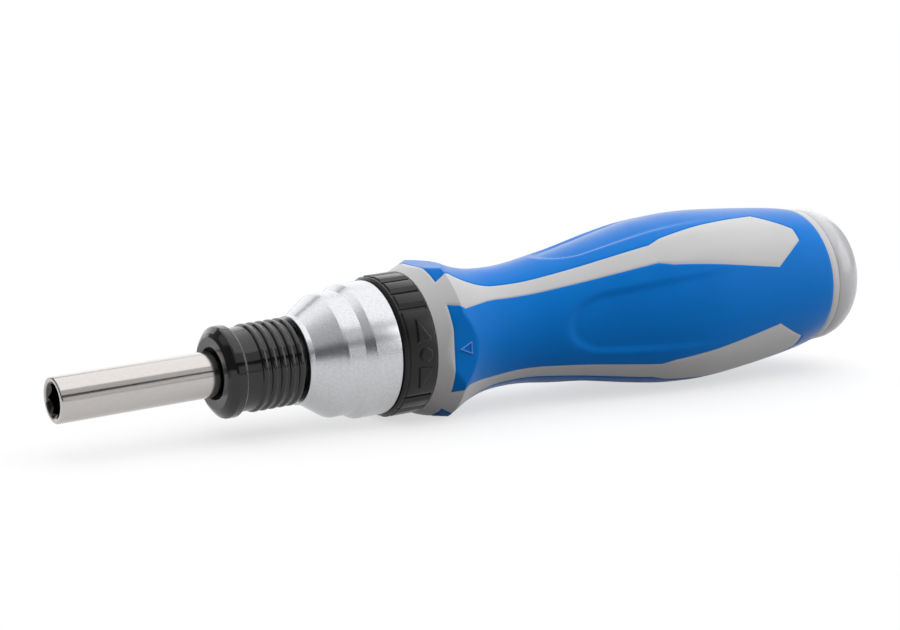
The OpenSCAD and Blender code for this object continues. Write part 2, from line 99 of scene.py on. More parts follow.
class ScrewdriverSizes(bpy.types.PropertyGroup):
    """Sizes of the visible details."""

    socket_width: length("Socket width", "Across the flats of the bit socket", 6.35)
    socket_depth: length("Socket depth", "Depth of the bit socket down to the magnet", 10)
    socket_lead: length("Socket lead-in", "Radius of the cone at the socket's mouth", 4.06)
    rib_height: length("Rib height", "Height of a rib on the collar", 0.5)
    rib_pitch: length("Rib pitch", "Distance between the collar's ribs", 2.15)
    groove_width: length("Groove width", "Width of a groove between the ring's pads", 0.95)
    groove_depth: length("Groove depth", "Depth of a groove between the ring's pads", 0.55)
    mark_height: length("Mark height", "How far the direction marks stand off the ring", 0.4)
    grip_wall: length("Grip wall", "Thickness of the soft grip", 1.8)
    parting_depth: length("Parting depth", "Depth of the fine line between grip and core", 0.14)
    groove_count: IntProperty(
        name="Grooves", description="Grooves between the ring's pads", default=18, min=2
    )
    rib_count: IntProperty(name="Ribs", description="Ribs on the collar", default=5, min=1)


class ScrewdriverFinish(bpy.types.PropertyGroup):
    """Colours of the visible materials."""

    blue: colour("Blue", "Soft grip", 0.0, 0.187, 0.645)
    grey: colour("Grey", "Hard handle body", 0.58, 0.575, 0.575)
    pale: colour("Pale", "End cap", 0.55, 0.55, 0.565)
    black: colour("Black", "Selector ring", 0.008, 0.008, 0.0085)
    jet: colour("Jet", "Release collar", 0.006, 0.006, 0.0065)
    silver: colour("Silver", "Turned nose", 0.535, 0.54, 0.555)
    steel: colour("Steel", "Bit sleeve", 0.49, 0.465, 0.448)


def sizes():
    return bpy.context.scene.screwdriver_sizes


def finish_colours():
    return bpy.context.scene.screwdriver_finish


# Node materials


class Finish:
    """A node material with one Principled shader, built up by short calls."""

    def __init__(self, name, **settings):
        self.material = bpy.data.materials.new(name)
        self.material.use_nodes = True
        self.tree = self.material.node_tree
        self.shader = self.tree.nodes["Principled BSDF"]
        self.where = self.add("ShaderNodeTexCoord").outputs["Object"]
        for key, value in settings.items():
            label = key.replace("_", " ").title().replace("Ior", "IOR")
            self.shader.inputs[label].default_value = value

    def add(self, kind, **inputs):
        node = self.tree.nodes.new(kind)
        for key, value in inputs.items():
            self.put(node.inputs[key], value)
        return node

    def put(self, socket, value):
        if isinstance(value, bpy.types.NodeSocket):
            self.tree.links.new(value, socket)
        else:
            socket.default_value = value

    def noise(self, scale, detail=2.0, stretch=(1, 1, 1)):
        """Noise in object space; stretch squeezes it along an axis."""
        spread = self.add("ShaderNodeMapping", Vector=self.where, Scale=stretch)
        return self.add(
            "ShaderNodeTexNoise", Vector=spread.outputs["Vector"], Scale=scale, Detail=detail
        ).outputs["Fac"]

    def between(self, factor, low, high):
        """Maps a 0 to 1 factor onto a range."""
        return self.add(
            "ShaderNodeMapRange", **{"Value": factor, "To Min": low, "To Max": high}
        ).outputs["Result"]

    def tint(self, factor, first, second):
        """A mix of two colours, each given as three numbers or as a socket."""
        mix = self.tree.nodes.new("ShaderNodeMix")
        mix.data_type = "RGBA"
        self.put(mix.inputs["Factor"], factor)
        ends = {"A": first, "B": second}
        for socket in mix.inputs:
            if socket.type == "RGBA":
                end = ends[socket.name]
                self.put(socket, end if isinstance(end, bpy.types.NodeSocket) else (*end, 1))
        return next(s for s in mix.outputs if s.type == "RGBA")

    def math(self, operation, first, second):
        """The outcome of one Math node."""
        node = self.tree.nodes.new("ShaderNodeMath")
        node.operation = operation
        self.put(node.inputs[0], first)
        self.put(node.inputs[1], second)
        return node.outputs[0]

    def base(self, factor, value, spread):
        """Base colour that wanders a little around one value."""
        dark = tuple(c * (1 - spread) for c in value)
        light = tuple(min(1, c * (1 + spread)) for c in value)
        self.put(self.shader.inputs["Base Color"], self.tint(factor, dark, light))

    def rough(self, factor, low, high):
        self.put(self.shader.inputs["Roughness"], self.between(factor, low, high))

    def bump(self, height, distance, strength):
        """Fine relief, with its distance in metres."""
        node = self.add("ShaderNodeBump", Height=height, Distance=distance, Strength=strength)
        self.put(self.shader.inputs["Normal"], node.outputs["Normal"])


def soft_blue():
    f = Finish("soft_blue_grip", specular_ior_level=0.06, sheen_weight=1.0, sheen_roughness=0.3)
    f.base(f.noise(140, 4), finish_colours().blue, 0.05)
    f.rough(f.noise(420, 3), 0.42, 0.56)
    f.bump(f.noise(3200, 2), 0.00003, 0.35)
    return f.material


def painted_highlight_blue():
    """The grip's blue made paler on the raised pointer: a painted highlight for the light its edges
    catch.
    """
    f = Finish("rubbed_blue_pointer", specular_ior_level=0.3)
    f.base(f.noise(900, 3), (0.16, 0.36, 0.78), 0.06)
    f.rough(f.noise(420, 3), 0.36, 0.48)
    return f.material


def hard_grey():
    f = Finish("hard_grey_body", specular_ior_level=0.4)
    f.base(f.noise(160, 3), finish_colours().grey, 0.03)
    f.rough(f.noise(500, 3), 0.4, 0.54)
    f.bump(f.noise(3600, 2), 0.000025, 0.35)
    return f.material


def pale_plastic():
    f = Finish(
        "pale_cap_plastic", specular_ior_level=0.75, subsurface_weight=0.3, subsurface_scale=0.004
    )
    f.base(f.noise(180, 3), finish_colours().pale, 0.025)
    f.rough(f.noise(600, 3), 0.2, 0.28)
    f.bump(f.noise(4200, 2), 0.000015, 0.3)
    return f.material


def satin_black():
    f = Finish("satin_black_ring", ior=1.36, sheen_weight=1.0, sheen_roughness=0.3)
    f.base(f.noise(260, 3), finish_colours().black, 0.18)
    f.rough(f.noise(900, 3), 0.28, 0.36)
    f.bump(f.noise(3800, 3), 0.00002, 0.2)
    return f.material


def gloss_black():
    f = Finish("gloss_black_collar", ior=1.5, sheen_weight=0.8, sheen_roughness=0.3)
    f.base(f.noise(300, 3), finish_colours().jet, 0.2)
    f.rough(f.noise(40, 2, (60, 1, 1)), 0.08, 0.12)
    f.bump(f.noise(30, 2, (160, 1, 1)), 0.000004, 0.2)
    return f.material


def turned_aluminium():
    f = Finish("turned_aluminium_nose", metallic=1.0)
    f.base(f.noise(2900, 2, (0.6, 1, 1)), finish_colours().silver, 0.17)
    f.rough(f.noise(300, 2), 0.24, 0.28)
    return f.material


def polished_steel():
    f = Finish("polished_steel_sleeve", metallic=1.0)
    grain = f.noise(700, 3, (1, 3, 3))
    bright = finish_colours().steel
    outside = f.tint(grain, tuple(c * 0.95 for c in bright), tuple(c * 1.05 for c in bright))
    # Painted shade: the broached socket's inside is coloured near black for the shade that falls in the
    # hole. Its two radii are in metres.
    painted_socket_shade = (0.07, 0.065, 0.06)
    mouth, wall = 0.00405, 0.0038
    place = f.add("ShaderNodeSeparateXYZ", Vector=f.where)
    across = f.add("ShaderNodeCombineXYZ", Y=place.outputs["Y"], Z=place.outputs["Z"])
    radius = f.tree.nodes.new("ShaderNodeVectorMath")
    radius.operation = "LENGTH"
    f.put(radius.inputs[0], across.outputs["Vector"])
    inside = f.add(
        "ShaderNodeMapRange",
        **{"Value": radius.outputs["Value"], "From Min": mouth, "From Max": wall},
    )
    f.put(f.shader.inputs["Base Color"], f.tint(inside.outputs["Result"], outside, painted_socket_shade))
    f.rough(f.noise(900, 4, (0.3, 3, 3)), 0.11, 0.18)
    f.bump(f.noise(2600, 2, (0.4, 1, 1)), 0.000008, 0.3)
    return f.material


def works_metal(name, value, low, high, metallic=1.0):
    """Finish of a hidden working part: machined metal with fine tool lines."""
    f = Finish(name, metallic=metallic)
    f.base(f.noise(400, 3), value, 0.1)
    f.rough(f.noise(60, 3, (40, 1, 1)), low, high)
    f.bump(f.noise(40, 2, (120, 1, 1)), 0.000008, 0.3)
    return f.material


# Mesh helpers


def add_piece(name, points, faces, material, body, nodes=(), sharp=32.0):
    """Makes a smooth shaded mesh from millimetre points and lets it ride on a CAD body."""
    mesh = bpy.data.meshes.new(name)
    mesh.from_pydata((np.asarray(points, float) * MM).tolist(), [], faces)
    mesh.validate()
    mesh.polygons.foreach_set("use_smooth", [True] * len(mesh.polygons))
    mesh.set_sharp_from_angle(angle=math.radians(sharp))
    mesh.materials.append(material)
    piece = bpy.data.objects.new(name, mesh)
    bpy.context.scene.collection.objects.link(piece)
    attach(piece, body)
    if nodes:
        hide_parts(*nodes)
    return piece


def eased(corners, steps=5):
    """A closed outline of (x, r) with each (x, r, fillet) corner rounded off."""
    straight = math.pi - 0.03
    most = 0.48
    outline = []
    for i, (x, r, fillet) in enumerate(corners):
        here = np.array((x, r), float)
        back = np.array(corners[i - 1][:2], float) - here
        ahead = np.array(corners[(i + 1) % len(corners)][:2], float) - here
        back_len, ahead_len = np.linalg.norm(back), np.linalg.norm(ahead)
        back, ahead = back / back_len, ahead / ahead_len
        opening = math.acos(np.clip(back @ ahead, -1, 1))
        if fillet <= 0 or opening > straight:
            outline.append((x, r))
            continue
        cut = min(fillet / math.tan(opening / 2), most * back_len, most * ahead_len)
        radius = cut * math.tan(opening / 2)
        middle = back + ahead
        centre = here + middle / np.linalg.norm(middle) * radius / math.sin(opening / 2)
        first = here + back * cut - centre
        last = here + ahead * cut - centre
        start = math.atan2(first[1], first[0])
        sweep = (math.atan2(last[1], last[0]) - start + math.pi) % (2 * math.pi) - math.pi
        for k in range(steps + 1):
            a = start + sweep * k / steps
            outline.append((centre[0] + radius * math.cos(a), centre[1] + radius * math.sin(a)))
    return outline


def ring_faces(rings, columns, closed=True):
    """Quads between successive rings of points; closed joins the last ring to the first."""
    faces = []
    for i in range(rings if closed else rings - 1):
        a, b = i * columns, ((i + 1) % rings) * columns
        for j in range(columns):
            k = (j + 1) % columns
            faces.append((a + j, b + j, b + k, a + k))
    return faces


def lathe(outline, columns=192):
    """Points and faces of a ring turned about X from a closed outline of (x, r)."""
    turns = np.linspace(0, 2 * math.pi, columns, endpoint=False)
    points = []
    for x, r in outline:
        points.extend(zip(np.full(columns, x), -r * np.cos(turns), r * np.sin(turns)))
    return points, ring_faces(len(outline), columns)


def dense(corners, steps):
    """A closed outline with each side split into a number of steps."""
    points = []
    for a, b in zip(corners, np.roll(corners, -1, axis=0)):
        points.extend(a + (b - a) * k / steps for k in range(steps))
    return np.array(points)


def smooth_step(t):
    t = np.clip(t, 0, 1)
    return t * t * (3 - 2 * t)


# Pieces


class SCREWDRIVER_OT_bit_holder(bpy.types.Operator):
    """Builds the polished sleeve with its hexagonal socket and coned mouth"""

    bl_idname = "screwdriver.bit_holder"
    bl_label = "Bit Holder"

    def execute(self, context):
        s = sizes()
        columns = 240
        front, rear, outer = SLEEVE
        half = s.socket_width / MM / 2
        depth = s.socket_depth / MM
        lead = s.socket_lead / MM
        turns = np.linspace(0, 2 * math.pi, columns, endpoint=False)
        cone_len, magnet_r, magnet_len = 1.1, 2.95, 3.2
        gap, step = 0.3, 0.25
        # A hexagon with corners towards -Y and +Y.
        hexagon = half / np.cos((turns % (math.pi / 3)) - math.pi / 6)
        cone_rate = cone_len / (lead - half)
        mouth = (lead - hexagon) * cone_rate
        round_pocket = np.full(columns, magnet_r)
        pocket_end = depth + magnet_len
        flat = np.full(columns, 1.0)
        rings = [(mouth, hexagon), (depth * flat, hexagon), (depth * flat, round_pocket)]
        rings += [(pocket_end * flat, round_pocket), (pocket_end * flat, hexagon)]
        rings += [(rear * flat, hexagon)]
        shoulder = COLLAR[0] - gap
        edge = eased([
            (rear, outer - 1, 0), (rear, outer - step, 0.2), (shoulder, outer - step, 0),
            (shoulder, outer, 0.12), (front, outer, 0.42), (front, outer - 1, 0),
        ])
        rings += [(x * flat, r * flat) for x, r in edge[1:-1]]
        rings += [(front * flat, (lead + 0.05) * flat), ((front + 0.03) * flat, (lead - 0.02) * flat)]
        points = []
        for x, r in rings:
            points.extend(zip(x, -r * np.cos(turns), r * np.sin(turns)))
        add_piece(
            "bit_sleeve_skin",
            points,
            ring_faces(len(rings), columns),
            polished_steel(),
            "drive",
            ["bit_sleeve"],
            sharp=28,
        )
        return {"FINISHED"}


class SCREWDRIVER_OT_collar(bpy.types.Operator):
    """Builds the black release collar with its flange, neck and ribs"""

    bl_idname = "screwdriver.collar"
    bl_label = "Release Collar"

    def execute(self, context):
        s = sizes()
        front, rear, top = COLLAR
        bore, spring_room, skirt = 5.75, 7.8, 7.45
        neck = top - 0.9
        crest = neck + s.rib_height / MM
        corners = [
            (front, bore, 0.15),
            (front, top - 2.15, 0.1),
            (front + 0.4, top - 1.3, 0.25),
            (front + 1.3, top - 0.2, 0.25),
            (front + 1.7, top, 0.3),
            (front + 3.5, top, 0.25),
            (front + 4.2, neck, 0.2),
        ]
        first = rear - 0.8 - (s.rib_count - 1) * s.rib_pitch / MM
        for i in range(s.rib_count):
            x = first + i * s.rib_pitch / MM
            corners += [(x - 0.72, neck, 0.1), (x - 0.4, crest, 0.5)]
            corners += [(x + 0.4, crest, 0.5), (x + 0.72, neck, 0.1)]
        corners += [
            (rear, neck - 0.3, 0.12),
            (rear, skirt, 0.1),
            (rear - 1.5, skirt, 0),
            (rear - 6.27, bore, 0),
            (front + 9.2, bore, 0),
            (front + 9.2, spring_room, 0),
            (front + 3.5, spring_room, 0),
            (front + 3.5, bore, 0),
        ]
        points, faces = lathe(eased(corners))
        add_piece(
            "release_collar_skin", points, faces, gloss_black(), "collar",
            ["release_collar"], sharp=40,
        )
        return {"FINISHED"}


class SCREWDRIVER_OT_nose(bpy.types.Operator):
    """Builds the turned aluminium nose"""

    bl_idname = "screwdriver.nose"
    bl_label = "Nose"

    def execute(self, context):
        front, neck_end, top = NOSE
        rear = RING[0] - 0.3
        bore, neck = 6.6, 8.05
        lip = top - 5.1
        corners = [
            (front, bore, 0.1),
            (front, lip, 0.25),
            (front + 1.3, lip, 0.1),
            (front + 6.9, top - 1.4, 0.15),
            (front + 7.5, top - 1.2, 0.3),
            (rear - 8.3, top - 1.2, 0.12),
            (rear - 6.6, top - 0.1, 0.1),
            (rear - 6.3, top, 0.1),
            (rear, top, 0.3),
            (rear, neck, 0),
            (neck_end, neck, 0),
            (neck_end, bore, 0),
        ]
        points, faces = lathe(eased(corners), 256)
        add_piece(
            "nose_skin", points, faces, turned_aluminium(), "handle",
            ["nose"], sharp=40,
        )
        return {"FINISHED"}


class SCREWDRIVER_OT_selector(bpy.types.Operator):
    """Builds the selector ring with its grip pads and raised direction marks"""

    bl_idname = "screwdriver.selector"
    bl_label = "Selector Ring"

    # Half of the smooth field round the marks, in degrees
    field = 38.0

    def execute(self, context):
        material = satin_black()
        self.ring(material)
        self.marks(material)
        return {"FINISHED"}

    def ring(self, material):
        s = sizes()
        front, rear, top = RING
        turns, drops = self.columns(s, top)
        columns = len(turns)
        web_bore, rim_bore, outside = 8.2, 12.38, 13
        outline = eased(
            [
                (front, web_bore, 0),
                (front, top - 0.85, 0.12),
                (front + 0.45, top - 0.35, 0.12),
                (front + 0.95, top - 0.35, 0.08),
                (front + 1.05, top, 0.2),
                (rear - 0.02, top, 0.22),
                (rear - 0.02, rim_bore, 0),
                (front + 1, rim_bore, 0),
                (front + 1, web_bore, 0),
            ],
            4,
        )
        points = []
        for x, r in outline:
            sunk = np.where(r > outside, np.minimum(r, top - drops), r)
            if x < front + 0.7:
                sunk = np.full(columns, r)
            points.extend(zip(np.full(columns, x), -sunk * np.cos(turns), sunk * np.sin(turns)))
        add_piece(
            "selector_ring_skin", points, ring_faces(len(outline), columns), material, "selector",
            ["selector_ring"], sharp=36,
        )

    def columns(self, s, top):
        """Turns about the axis and how far the rim is cut in at each of them."""
        half = s.groove_width / MM / 2 / top
        depth = s.groove_depth / MM
        flank = 0.12
        pitch = (360 - 2 * self.field) / (s.groove_count - 1)
        shape = [(-half - 0.012, 0), (-half, 0.06), (-half + 0.006, depth), (half - 0.006, depth)]
        shape += [(half, 0.3), (half + 0.035, 0.17), (half + 0.07, 0.05), (half + 0.08, 0)]
        turns, drops = [], []
        for i in range(s.groove_count):
            middle = math.radians(self.field + i * pitch)
            side = 1 if middle < math.pi else -1
            for turn, drop in shape[::side]:
                turns.append(middle + side * turn)
                drops.append(drop)
            gap = math.radians(pitch if i < s.groove_count - 1 else 2 * self.field)
            fill = 6 if i < s.groove_count - 1 else 40
            first = turns[-1]
            last = middle + gap - flank
            for k in range(1, fill):
                turns.append(first + (last - first) * k / fill)
                drops.append(0.0)
        order = np.argsort(turns)
        return np.array(turns)[order], np.array(drops)[order]

    def marks(self, material):
        """A disc for the locked middle and a triangle for each drive direction."""
        s = sizes()
        front, top = RING[0], RING[2]
        middle = front + 4.85
        lift = top + s.mark_height / MM
        disc_r, spacing = 1.45, 19.0
        turns = np.linspace(0, 2 * math.pi, 48, False)
        disc = [(disc_r * math.cos(a), disc_r * math.sin(a)) for a in turns]
        arrow = [(-1.75, -2.45), (1.6, -2.1), (-1.2, 2.6)]
        mirrored = [(x, -y) for x, y in arrow[::-1]]
        signs = [
            ("lock_mark", 0.0, disc),
            ("forward_mark", spacing, arrow),
            ("reverse_mark", -spacing, mirrored),
        ]
        for name, turn, shape in signs:
            self.sign(name, middle, math.radians(turn), shape, top, lift, material)

    def sign(self, name, middle, turn, shape, top, lift, material):
        """A low raised sign that follows the ring's curve, with eased edges."""
        border = dense(np.array(shape), 10 if len(shape) < 8 else 1)
        centre = border.mean(axis=0)
        steps = [(1.05, top - 0.25), (1.04, top), (1.0, lift - 0.06), (0.95, lift)]
        steps += [(k, lift) for k in (0.7, 0.45, 0.2)]
        points = []
        for share, r in steps:
            loop = centre + (border - centre) * share
            angle = turn + loop[:, 1] / top
            points.extend(zip(middle + loop[:, 0], -r * np.cos(angle), r * np.sin(angle)))
        count = len(border)
        faces = [f[::-1] for f in ring_faces(len(steps), count, closed=False)]
        faces.append(tuple(range(count)))
        faces.append(tuple(range((len(steps) - 1) * count, len(steps) * count))[::-1])
        add_piece(name, points, faces, material, "selector", sharp=50)


# Handle form, the same as in the CAD source: a rounded square section along a waisted profile,
# in millimetres from the handle's front and degrees from a panel's middle

FRONT_R = 15.8
CREST = (6.2, 18.5)
FLAT = 16.75
WAIST_X = 24.9
WINDOW_X, STRIPE_END, GRIP_END, HANDLE_LEN = 3.6, 101.5, 109.8, 111.9
# The skin keeps this far inside the CAD surface.
INSIDE = 0.06
# Radius at the middle of a panel
PROFILE = np.array([
    CREST, (7.6, 17.83), (9.4, 16.85), (11.4, 15.9), (13.4, 15.15), (15.4, 14.55), (17.9, 14.05),
    (21, 13.75), (WAIST_X, 13.65), (28.9, 13.85), (34, 14.5), (39, 15.25), (44, 16.1), (49, 17.05),
    (54, 18), (59.4, 18.9), (62.9, 19.4), (68, 19.8), (73.9, 20), (79, 19.85), (85, 19.45),
    (92.6, 18.75), (97, 18.3), (STRIPE_END, 17.8), (105.5, 17.25), (GRIP_END, 16.45),
    (HANDLE_LEN, 16.05),
])
# How far the corners stand over the panels, as a share of the radius
CORNER_RISE = np.array([
    (7.6, 0), (15.4, 0.012), (WAIST_X, 0.014), (39, 0.022), (59.4, 0.036), (73.9, 0.045),
    (92.6, 0.042), (STRIPE_END, 0.025), (GRIP_END, 0),
])
# Half the turn that a corner stripe takes up
STRIPE = np.array([
    (WINDOW_X, 10.5), (CREST[0], 14), (7.6, 16), (15.4, 8.8), (17.9, 7.6), (59.4, 7.6), (62.9, 11),
    (92.6, 24), (STRIPE_END, 5.5),
])
CREASE = 9.0
# The scoop in the middle of each panel, and where it fades out towards the rear
SCOOP_X, SCOOP_REACH, SCOOP_HALF = 45, 10.4, 26
SCOOP_DEPTH, SCOOP_EDGE = 0.7, 0.2
SCOOP_FADE_X, SCOOP_FADE = 50, 34
NO_FLAT = 99.0


def spline(table, x):
    """Smooth curve through a table of points, with slopes taken from its neighbours."""
    xs, ys = table[:, 0], table[:, 1]
    slopes = np.gradient(ys, xs)
    x = np.clip(x, xs[0], xs[-1])
    i = np.clip(np.searchsorted(xs, x, "right") - 1, 0, len(xs) - 2)
    step = xs[i + 1] - xs[i]
    t = (x - xs[i]) / step
    return (
        (2 * t**3 - 3 * t**2 + 1) * ys[i]
        + (t**3 - 2 * t**2 + t) * step * slopes[i]
        + (3 * t**2 - 2 * t**3) * ys[i + 1]
        + (t**3 - t**2) * step * slopes[i + 1]
    )


def section(r, rise, a):
    """Radius of four crowned panels that meet round corners, at a turn from the panel's middle."""
    top = r * (1 + rise)
    bend = math.radians(45 - CREASE)
    offset = (top**2 - r**2) / (2 * (r - top * math.cos(bend)))
    panel = np.sqrt((r + offset) ** 2 - (offset * np.sin(a)) ** 2) - offset * np.cos(a)
    return soft_min(panel, top, 0.06)


def soft_min(a, b, blend):
    """The lesser of two, blended over a small radius as a moulded edge is."""
    near = np.clip(1 - np.abs(a - b) / blend, 0, 1)
    return np.minimum(a, b) - blend / 4 * near**2


def skin(x, a):
    """Handle radius at a distance from its front and a turn from a panel's middle, in degrees."""
    cone = FRONT_R + (CREST[1] - FRONT_R) * x / CREST[0]
    r = np.where(x < CREST[0], cone, spline(PROFILE, x))
    rise = np.interp(x, CORNER_RISE[:, 0], CORNER_RISE[:, 1])
    flat = np.where(x < WAIST_X, FLAT / np.cos(np.radians(a)), NO_FLAT)
    ahead = np.minimum(0, (x - SCOOP_X) / SCOOP_REACH)
    q = np.sqrt(ahead**2 + (a / SCOOP_HALF) ** 2)
    fade = 1 - smooth_step((x - SCOOP_FADE_X) / SCOOP_FADE)
    scoop = SCOOP_DEPTH * smooth_step((1 - q) / SCOOP_EDGE) * fade
    return soft_min(section(r, rise, np.radians(a)), flat, 0.1) - scoop - INSIDE


class HandleGrid:
    """Rows along the handle and columns round it that follow the edges of the hard stripes."""

    def __init__(self):
        fine, coarse, flange_end = 0.4, 0.8, 16
        marks = [0, *STRIPE[:, 0], GRIP_END, HANDLE_LEN]
        rows = []
        for a, b in zip(marks, marks[1:]):
            count = max(4, int((b - a) / (fine if b < flange_end else coarse)))
            rows.append(self.crowded(count) * (b - a) + a)
        self.x = np.unique(np.round(np.concatenate(rows), 5))
        stripe_cells, panel_cells = 12, 48
        self.quarter = stripe_cells + panel_cells
        self.columns = 4 * self.quarter
        width = np.interp(self.x, STRIPE[:, 0], STRIPE[:, 1])
        half = stripe_cells // 2
        inner = self.crowded(stripe_cells)[:stripe_cells]
        panel = self.crowded(panel_cells)[:panel_cells]
        share = np.concatenate([inner[half:], panel, inner[:half]])
        kind = np.concatenate([np.zeros(half), np.ones(panel_cells), np.full(half, 2)])
        w = width[:, None]
        lead = -45 + (2 * share - 1) * w
        body = (2 * share - 1) * (45 - w)
        tail = 45 + (2 * share - 1) * w
        self.turn = np.select([kind == 0, kind == 1, kind == 2], [lead, body, tail])
        self.soft_kind = kind == 1

    def crowded(self, count):
        """0 to 1 in steps that close up at both ends."""
        t = np.linspace(0, 1, count + 1)
        return 0.5 * t + 0.5 * (1 - np.cos(math.pi * t)) / 2

    def soft(self):
        """Which cell behind each row and column belongs to the soft grip."""
        tiny = 1e-6
        near = self.x[:-1, None] + tiny
        far = self.x[1:, None] - tiny
        kind = np.tile(self.soft_kind, 4)[None, :]
        return (near >= WINDOW_X) & (far <= GRIP_END) & ((near >= STRIPE_END) | kind)

    def parting(self):
        """Which points lie on the line between grip and core."""
        soft = self.soft()
        side = soft != np.roll(soft, 1, axis=1)
        ahead = np.zeros_like(soft)
        ahead[1:] = soft[1:] != soft[:-1]
        edge = np.zeros((len(self.x), self.columns), bool)
        edge[:-1] |= side
        edge[1:] |= side
        edge[:-1] |= ahead
        edge[:-1] |= np.roll(ahead, 1, axis=1)
        edge[-2] |= soft[-1] != soft[-2]
        return edge

    def points(self, drop, parting=0.0):
        """Points of one layer, sunk by drop and dipped along the parting line."""
        a = np.tile(self.turn, (1, 4))
        r = skin(np.repeat(self.x[:, None], self.columns, axis=1), a) - drop
        r = r - parting * self.parting()
        lean = np.radians(a + np.repeat(np.arange(4) * 90.0, self.quarter)[None, :])
        x = np.repeat(CORE[0] + self.x[:, None], self.columns, axis=1)
        return np.stack([x, -r * np.cos(lean), r * np.sin(lean)], axis=-1).reshape(-1, 3)

    def at(self, i, j):
        return i * self.columns + j % self.columns

    def cell(self, i, j, level=0):
        return (
            level + self.at(i, j), level + self.at(i, j + 1),
            level + self.at(i + 1, j + 1), level + self.at(i + 1, j),
        )

    def walls(self, under):
        """Faces down the edges of the soft cells, facing out of the grip."""
        soft = self.soft()
        rows = soft.shape[0]
        faces = []
        for i in range(rows):
            for j in np.nonzero(soft[i])[0]:
                p, q = self.at(i, j), self.at(i, j + 1)
                s, t = self.at(i + 1, j), self.at(i + 1, j + 1)
                if i == 0 or not soft[i - 1, j]:
                    faces.append((p, p + under, q + under, q))
                if i == rows - 1 or not soft[i + 1, j]:
                    faces.append((t, t + under, s + under, s))
                if not soft[i, j - 1]:
                    faces.append((s, s + under, p + under, p))
                if not soft[i, (j + 1) % self.columns]:
                    faces.append((q, q + under, t + under, t))
        return faces


def used_only(points, faces):
    """Drops the points that no face uses."""
    used = np.unique(np.concatenate([np.array(f) for f in faces]))
    place = np.zeros(len(points), int)
    place[used] = np.arange(len(used))
    return points[used], [tuple(int(place[v]) for v in f) for f in faces]


GRID = HandleGrid()


class SCREWDRIVER_OT_handle_core(bpy.types.Operator):
    """Builds the hard grey body: flange, corner stripes, rear rim and bores"""

    bl_idname = "screwdriver.handle_core"
    bl_label = "Handle Core"

    def execute(self, context):
        s = sizes()
        gap = 0.02
        seat_r, seat_depth = 9.0, 29.2
        store_r, store_floor = 11.0, 39
        soft = GRID.soft()
        top = GRID.points(0.0, s.parting_depth / MM)
        low = GRID.points(s.grip_wall / MM + gap)
        under = len(top)
        faces = []
        for i in range(len(GRID.x) - 1):
            for j in range(GRID.columns):
                faces.append(GRID.cell(i, j, under if soft[i, j] else 0))
        faces += [f[::-1] for f in GRID.walls(under)]
        points = np.concatenate([top, low])
        front, rear = CORE[:2]
        points, faces = self.bore(points, faces, 0, front, seat_r, front + seat_depth)
        points, faces = self.bore(points, faces, len(GRID.x) - 1, rear, store_r, front + store_floor)
        points, faces = used_only(points, faces)
        add_piece(
            "handle_core_skin", points, faces, hard_grey(), "handle",
            ["handle_core"], sharp=40,
        )
        return {"FINISHED"}

    def bore(self, points, faces, row, x, radius, floor):
        """Closes an end of the body with a ring face, a round bore and its floor."""
        count = GRID.columns
        edge = points[row * count : (row + 1) * count]
        turn = np.arctan2(edge[:, 2], -edge[:, 1])
        loops = []
        for at_x, r in ((x, radius), (floor, radius), (floor, radius * 0.5)):
            loops.append(np.stack([np.full(count, at_x), -r * np.cos(turn), r * np.sin(turn)], axis=1))
        start = len(points)
        points = np.concatenate([points, *loops])
        chain = [row * count, start, start + count, start + 2 * count]
        rear = row > 0
        for a, b in zip(chain, chain[1:]):
            for j in range(count):
                k = (j + 1) % count
                quad = (a + j, a + k, b + k, b + j)
                faces.append(quad[::-1] if rear else quad)
        last = tuple(chain[-1] + j for j in range(count))
        faces.append(last[::-1] if rear else last)
        return points, faces


class SCREWDRIVER_OT_soft_grip(bpy.types.Operator):
    """Builds the soft blue grip with its scooped panels and the pointer on the facing one"""

    bl_idname = "screwdriver.soft_grip"
    bl_label = "Soft Grip"

    def execute(self, context):
        s = sizes()
        material = soft_blue()
        soft = GRID.soft()
        top = GRID.points(0.0, s.parting_depth / MM)
        low = GRID.points(s.grip_wall / MM)
        under = len(top)
        faces = []
        for i in range(len(GRID.x) - 1):
            for j in np.nonzero(soft[i])[0]:
                faces.append(GRID.cell(i, j))
                faces.append(GRID.cell(i, j, under)[::-1])
        faces += GRID.walls(under)
        points, faces = used_only(np.concatenate([top, low]), faces)
        add_piece(
            "soft_grip_skin", points, faces, material, "handle", ["soft_grip"], sharp=40
        )
        # The pointer's paler blue is a painted highlight.
        self.pointer(painted_highlight_blue())
        return {"FINISHED"}

    def pointer(self, material):
        """A thin raised triangle outline that points at the selector ring."""
        outer = np.array([(4.9, 0.0), (8.0, 1.45), (8.0, -1.45)])
        middle = outer.mean(axis=0)
        # Each ring of the ridge: its share of the triangle's size and its height over the grip.
        ridge = ((1.04, -0.15), (1.0, 0.1), (0.93, 0.26), (0.8, 0.26), (0.73, 0.1), (0.69, -0.15))
        points = []
        for share, lift in ridge:
            loop = dense(middle + (outer - middle) * share, 8)
            turn = loop[:, 1] / FLAT
            r = skin(loop[:, 0], np.degrees(turn)) + lift
            points.extend(zip(CORE[0] + loop[:, 0], -r * np.cos(turn), r * np.sin(turn)))
        faces = ring_faces(len(ridge), len(points) // len(ridge))
        add_piece("grip_pointer", points, faces, material, "handle", sharp=50)


